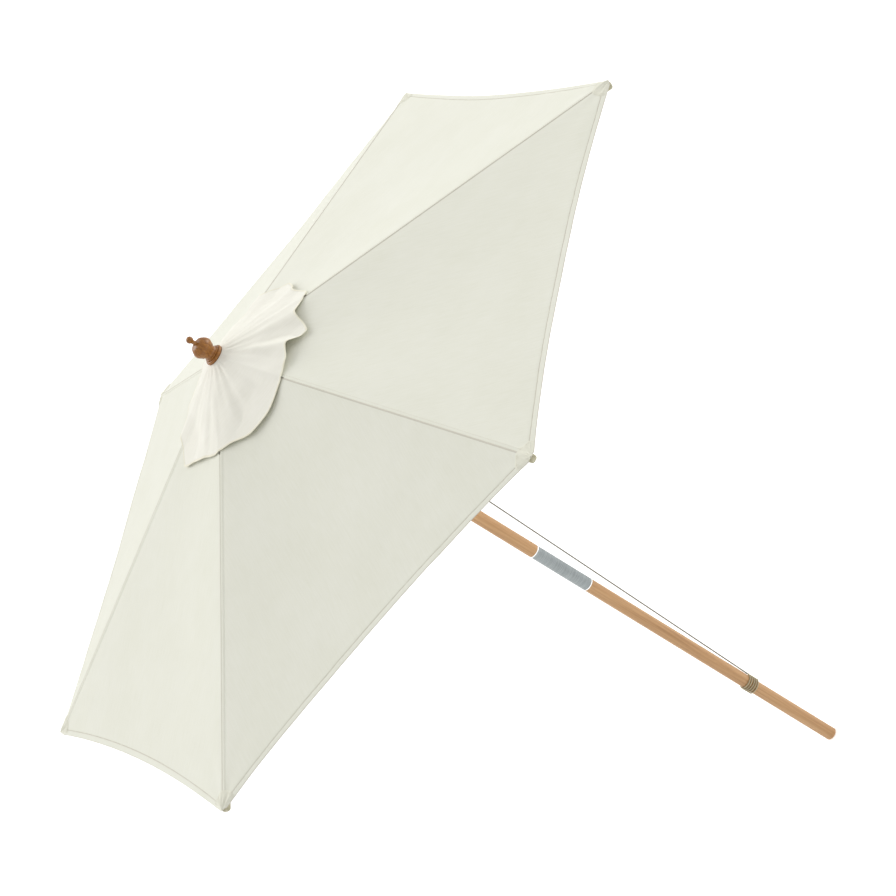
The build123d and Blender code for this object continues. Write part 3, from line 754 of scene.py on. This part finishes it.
def cap_height(radius, phi):
    """Upper face of the loose vent cap: folds fan out from the clamp and end in the hem's waves."""
    alpha = (phi + HALF) % (2 * HALF) - HALF
    hem = cap_hem_radius(phi)
    share = min(max((radius - CLAMP_R) / (hem - CLAMP_R), 0.0), 1.0)
    ridge = 1 + (cos(HALF - abs(alpha)) / COS_HALF - 1) * smooth(radius / 260)
    base = CAP_TOP - CAP_FALL * (radius - CLAMP_R) * ridge
    wave = 0.55 * (CAP_R - 2 - hem) * share**2.2
    folds = 0.0
    for place, width, depth in CAP_FOLDS:
        off = (phi * 180 / pi - place + 180) % 360 - 180
        fall_off = smooth((radius - CLAMP_R) / 24) * (1 - 0.75 * smooth(share * 1.05))
        folds -= depth * exp(-((off / (width * (1 + 0.7 * share))) ** 2)) * fall_off
    flutter = sin(phi * 17 + 0.8) * 0.9 + sin(phi * 29 + 2.1) * 0.6
    drape = flutter * smooth(share * 1.6) + 1.8 * sin(pi * share)
    field = noise.noise(Vector((radius * cos(phi) / 52, radius * sin(phi) / 52, 5.0)))
    rumple = 3.4 * field * smooth(share * 1.4)
    ground = PEAK - SLOPE * radius * cos(HALF - abs(alpha)) / COS_HALF
    return max(base + wave + folds + drape + rumple, ground + 3.0 + 1.2 * share)


CAP_COLUMNS = 72
CROWN_ROWS = 16
CAP_TAPE = (0.0, 0.8, 2.4, 4.4, 5.0)


def cap_grid(rib, radii_at):
    """Rows of cap points over one rib's share. radii_at gives a column's radii and drops from its hem
    radius."""
    azimuth = azimuth_of(rib)
    columns = []
    for j in range(CAP_COLUMNS + 1):
        phi = azimuth + HALF * (1 - 2 * j / CAP_COLUMNS)
        columns.append([(radius, phi, drop) for radius, drop in radii_at(cap_hem_radius(phi))])
    grid, flat = [], []
    for i in range(len(columns[0])):
        row, flat_row = [], []
        for column in columns:
            radius, phi, drop = column[i]
            z = cap_height(radius, phi) - drop
            row.append((radius * cos(phi), radius * sin(phi), z))
            flat_row.append((radius * sin(phi), radius * cos(phi)))
        grid.append(row)
        flat.append(flat_row)
    return grid, flat


def crown_radii(_hem):
    """The same radii in each column, from under the finial to the skirt."""
    return [(CLAMP_R + (SKIRT_FROM - CLAMP_R) * i / CROWN_ROWS, 0.0) for i in range(CROWN_ROWS + 1)]


def skirt_radii(hem):
    """From the crown's edge out to the hem, whose binding tape turns over the edge and back under."""
    rows = 46
    outer = hem - CAP_TAPE[-1]
    radii = [(SKIRT_FROM + (outer - SKIRT_FROM) * i / rows, 0.0) for i in range(rows)]
    for inset in reversed(CAP_TAPE):
        radii.append((hem - inset, -0.4 if 0 < inset < CAP_TAPE[-1] else 0.0))
    radii.append((hem - 0.2, 1.3))
    radii.append((hem - 2.6, 1.8))
    radii.append((hem - 4.8, 1.6))
    return radii


def vent_cap_pieces(rib):
    """One rib's share of the cap: its crown round the clamp stays in place, and its skirt rides the rib."""
    crown_grid, crown_flat = cap_grid(rib, crown_radii)
    crown = thicken(sheet_mesh(f"vent_cap_crown_{rib}", crown_grid, crown_flat, [cap_canvas_painted_light]), 0.8)
    skirt_grid, skirt_flat = cap_grid(rib, skirt_radii)
    rows = len(skirt_grid)
    tape_rows = range(rows - len(CAP_TAPE) - 3, rows - 1)
    skirt = sheet_mesh(f"vent_cap_skirt_{rib}", skirt_grid, skirt_flat, [cap_canvas_painted_light, hem_tape_and_painted_shade], tape_rows)
    thicken(skirt, 0.8)
    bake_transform(crown)
    fold_with(skirt, rib)
    if rib == 1:
        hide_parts("vent_cap")


def bar_tack(rib):
    """A short thread tack that holds the cap's hem to the canopy's seam."""
    azimuth = azimuth_of(rib)
    steps, line = 10, []
    hem = cap_hem_radius(azimuth)
    for i in range(steps + 1):
        x = hem - 3 + 9 * i / steps
        z = canopy_height(x, 1.0, azimuth) + 3.2 - 1.6 * i / steps
        line.append(Vector((*turned(x, 1.0, azimuth), z)) * MM)
    made = tube_mesh(f"cap_tack_{rib}", line, 1.6 * MM, tack_thread)
    return made


# Rope


def frames_along(points):
    """Unit tangent and two normals at each point, carried along without twist."""
    tangents = []
    for i in range(len(points)):
        ahead, behind = points[min(i + 1, len(points) - 1)], points[max(i - 1, 0)]
        tangents.append((ahead - behind).normalized())
    side = tangents[0].orthogonal().normalized()
    found = []
    for tangent in tangents:
        side = (side - tangent * side.dot(tangent)).normalized()
        found.append((tangent, side, tangent.cross(side)))
    return found


def tube_mesh(name, points, radius, material, strands=0, lay=0.014, around=12):
    """A round tube, or with strands a laid rope, along points in metres. Its ends are closed."""
    vertices, faces, travelled = [], [], 0.0
    directions = frames_along(points)
    for i, (point, (_, side, up)) in enumerate(zip(points, directions)):
        travelled += (point - points[i - 1]).length if i else 0.0
        for j in range(around):
            angle = 2 * pi * j / around
            grooved = abs(sin(strands / 2 * (angle - 2 * pi * travelled / lay))) ** 0.7 if strands else 1.0
            reach = radius * (0.86 + 0.14 * grooved)
            vertices.append(point + side * (reach * cos(angle)) + up * (reach * sin(angle)))
    for i in range(len(points) - 1):
        for j in range(around):
            a, b = i * around + j, i * around + (j + 1) % around
            faces.append((a, b, b + around, a + around))
    faces.append(tuple(reversed(range(around))))
    faces.append(tuple(range(len(vertices) - around, len(vertices))))
    mesh = bpy.data.meshes.new(name)
    mesh.from_pydata(vertices, [], faces)
    mesh.materials.append(material)
    mesh.polygons.foreach_set("use_smooth", [True] * len(mesh.polygons))
    made = bpy.data.objects.new(name, mesh)
    bpy.context.scene.collection.objects.link(made)
    return made


def spline_points(route, step):
    """Points read from a smooth NURBS line over the route's control points, evenly spaced."""
    curve = bpy.data.curves.new("route", "CURVE")
    curve.dimensions = "3D"
    spline = curve.splines.new("NURBS")
    spline.points.add(len(route) - 1)
    for point, place in zip(spline.points, route):
        point.co = (*place, 1.0)
    spline.order_u = 3
    spline.use_endpoint_u = True
    spline.resolution_u = 12
    holder = bpy.data.objects.new("route", curve)
    bpy.context.scene.collection.objects.link(holder)
    line = bpy.data.meshes.new_from_object(holder.evaluated_get(bpy.context.evaluated_depsgraph_get()))
    raw = np.array([v.co for v in line.vertices])
    bpy.data.objects.remove(holder)
    bpy.data.meshes.remove(line)
    lengths = np.concatenate([[0], np.cumsum(np.linalg.norm(np.diff(raw, axis=0), axis=1))])
    count = int(lengths[-1] / step)
    wanted = np.linspace(0, lengths[-1], count + 1)
    return [Vector(p) for p in np.stack([np.interp(wanted, lengths, raw[:, k]) for k in range(3)], axis=1)]


ROPE_SIDE = HALF
ROPE_R = 2.0
winding_low, winding_high = (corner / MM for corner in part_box("rope_winding"))
TURN_R = winding_high.x - ROPE_R
run_low, run_high = (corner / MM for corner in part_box("rope_run"))
lift_low, lift_high = (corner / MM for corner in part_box("rope_lift"))
wheel_low, wheel_high = (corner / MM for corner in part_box("pulley_wheel"))
LIFT_R = (lift_low.x + lift_high.x) / 2 / cos(ROPE_SIDE)
SHEAVE_AT = (wheel_low.x + wheel_high.x) / 2 / cos(ROPE_SIDE)
SHEAVE_Z = (wheel_low.z + wheel_high.z) / 2
SHEAVE_TURN = SHEAVE_AT - LIFT_R
POINTS_A_TURN = 12
WINDING_TURNS = 5


def beside_pole(radius, z):
    """A point in the rope's upright plane, in metres."""
    return (radius * cos(ROPE_SIDE) * MM, radius * sin(ROPE_SIDE) * MM, z * MM)


def winding_route():
    """Turns round the lower pole, laid a little unevenly."""
    wide = (TURN_R - 0.1) / cos(pi / POINTS_A_TURN)
    route = []
    top, bottom = winding_high.z - ROPE_R - 0.4, winding_low.z + ROPE_R + 0.4
    count = WINDING_TURNS * POINTS_A_TURN
    for i in range(count + 1):
        share = i / count
        angle = ROPE_SIDE - 2 * pi * i / POINTS_A_TURN
        lean = sin(2 * pi * i / POINTS_A_TURN + 2.2 * share)
        uneven = 1.1 * sin(7.3 * share + 1.0) * lean * sin(pi * share)
        z = top + (bottom - top) * share + uneven
        route.append((wide * cos(angle) * MM, wide * sin(angle) * MM, z * MM))
    return route


def run_route():
    """Straight from the winding to the pulley, over its wheel, and down beside the pole."""
    low = (TURN_R, run_low.z)
    corner_r = SHEAVE_TURN / cos(radians(15))
    route = [low]
    straight = 5
    for i in range(1, straight):
        share = i / straight
        out = low[0] + (SHEAVE_AT + SHEAVE_TURN - low[0]) * share
        route.append((out, low[1] + (SHEAVE_Z - 90 - low[1]) * share))
    route.append((SHEAVE_AT + SHEAVE_TURN - 1.2, SHEAVE_Z - 40))
    for degrees in range(15, 180, 30):
        angle = radians(degrees)
        route.append((SHEAVE_AT + corner_r * cos(angle), SHEAVE_Z + corner_r * sin(angle)))
    route.append((LIFT_R, SHEAVE_Z))
    return [beside_pole(*place) for place in route]


def lift_route():
    """Straight down from the pulley to the runner."""
    return [beside_pole(LIFT_R, lift_high.z + (lift_low.z - lift_high.z) * i / 4) for i in range(5)]


def knot_points():
    """A figure of three loops, drawn tight under the runner, with a short tail."""
    knot_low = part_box("rope_knot")[0] / MM
    centre = Vector(beside_pole(LIFT_R, knot_low.z + 4.6))
    points = []
    for i in range(97):
        turn = 2 * pi * i / 96
        x = sin(turn) + 2 * sin(2 * turn)
        y = cos(turn) - 2 * cos(2 * turn)
        points.append(centre + Vector((x * 0.95, y * 0.95, -sin(3 * turn) * 1.5)) * MM)
    return points


def rope_pieces():
    """One rope in three stretches, with its knot under the runner."""
    step = 1.75 * MM
    coil_line = spline_points(winding_route(), step)
    winding = tube_mesh("rope_turns", coil_line, ROPE_R * MM, turns_rope, strands=3)
    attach(winding, "lower")
    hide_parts("rope_winding")

    run_line = spline_points(run_route(), step)
    run = tube_mesh("rope_line", run_line, ROPE_R * MM, line_rope_painted_shade, strands=3)
    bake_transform(run)
    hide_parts("rope_run")

    lift_line = spline_points(lift_route(), step)
    lift = tube_mesh("rope_lift_line", lift_line, ROPE_R * MM, line_rope_painted_shade, strands=3)
    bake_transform(lift)
    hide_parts("rope_lift")

    knot = tube_mesh("rope_knot_tied", knot_points(), 1.5 * MM, turns_rope)
    through = spline_points([beside_pole(LIFT_R, lift_low.z - 47 * i / 4) for i in range(5)], step)
    tail = tube_mesh("rope_through_runner", through, ROPE_R * MM, line_rope_painted_shade, strands=3)
    for piece in (knot, tail):
        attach(piece, "runner")
    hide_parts("rope_knot")


# Studio


def studio():
    """White surroundings, a white floor, a broad high light and a low one from the side."""
    scene = bpy.context.scene
    scene.view_settings.view_transform = "Standard"
    world = bpy.data.worlds.new("soft_white_studio")
    world.use_nodes = True
    world.node_tree.nodes["Background"].inputs["Color"].default_value = (1, 1, 1, 1)
    world.node_tree.nodes["Background"].inputs["Strength"].default_value = 0.58
    scene.world = world

    # matt white paper that also glows a little, so that it stays white under the canopy's shade
    paper, _tree, shader = new_material("white_studio_paper", Roughness=0.95)
    shader.inputs["Base Color"].default_value = linear("FFFFFF")
    shader.inputs["Emission Color"].default_value = (1, 1, 1, 1)
    shader.inputs["Emission Strength"].default_value = 0.42
    mesh = bpy.data.meshes.new("studio_floor")
    reach = 40
    corners = [(-reach, -reach, 0), (reach, -reach, 0), (reach, reach, 0), (-reach, reach, 0)]
    mesh.from_pydata(corners, [], [(0, 1, 2, 3)])
    mesh.materials.append(paper)
    floor = bpy.data.objects.new("studio_floor", mesh)
    scene.collection.objects.link(floor)

    def sun(name, towards, strength, spread):
        light = bpy.data.lights.new(name, "SUN")
        light.energy = strength
        light.angle = radians(spread)
        made = bpy.data.objects.new(name, light)
        made.rotation_euler = Vector(towards).to_track_quat("Z", "Y").to_euler()
        scene.collection.objects.link(made)

    sun("broad_key", (-0.50, 0.50, 0.70), 1.57, 50)
    sun("side_fill", (0.75, 0.32, 0.08), 0.95, 20)


def camera():
    """A long lens from in front and above, rolled so that the pole lies across the frame."""
    data = bpy.data.cameras.new("camera")
    data.sensor_width = 36
    data.lens = 123.61
    made = bpy.data.objects.new("camera", data)
    right = Vector((0.619265, -0.149876, -0.770745))
    down = Vector((-0.719059, -0.502532, -0.480017))
    ahead = Vector((-0.315381, 0.851469, -0.41897))
    turn = Matrix((right, -down, -ahead)).transposed()
    made.matrix_world = Matrix.Translation((2.7276, -7.0286, 5.0053)) @ turn.to_4x4()
    bpy.context.scene.collection.objects.link(made)
    bpy.context.scene.camera = made


def cloth_pieces():
    """Canopy, pockets, stitches, tacks and vent cap, rib by rib."""
    stitches = stitch_tree()
    for rib in range(1, RIBS + 1):
        side_a, band, side_b = canopy_pieces(rib)
        patch = corner_patch(rib)
        sock = corner_sock(rib)
        tack = bar_tack(rib)
        seam_stitches = stitched(f"seam_stitches_{rib}", seam_lines(rib), stitches, seam_thread)
        patch_stitches = stitched(f"pocket_stitches_{rib}", [patch_stitch_line(rib)], stitches, seam_thread)
        hem_a = stitched(f"hem_stitches_a_{rib}", [hem_line(rib, -1)], stitches, seam_thread)
        hem_b = stitched(f"hem_stitches_b_{rib}", [hem_line(rib, 1)], stitches, seam_thread)
        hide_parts(f"canopy_{rib}")
        for piece in (side_a, hem_a):
            fold_with(piece, rib)
        for piece in (side_b, hem_b):
            fold_with(piece, rib)
        for piece in (patch, patch_stitches):
            fold_with(piece, rib)
        for piece in (band, sock, seam_stitches, tack):
            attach(piece, f"rib_{rib}")
        vent_cap_pieces(rib)


camera()
rope_pieces()
finish_frame()
cloth_pieces()
studio()
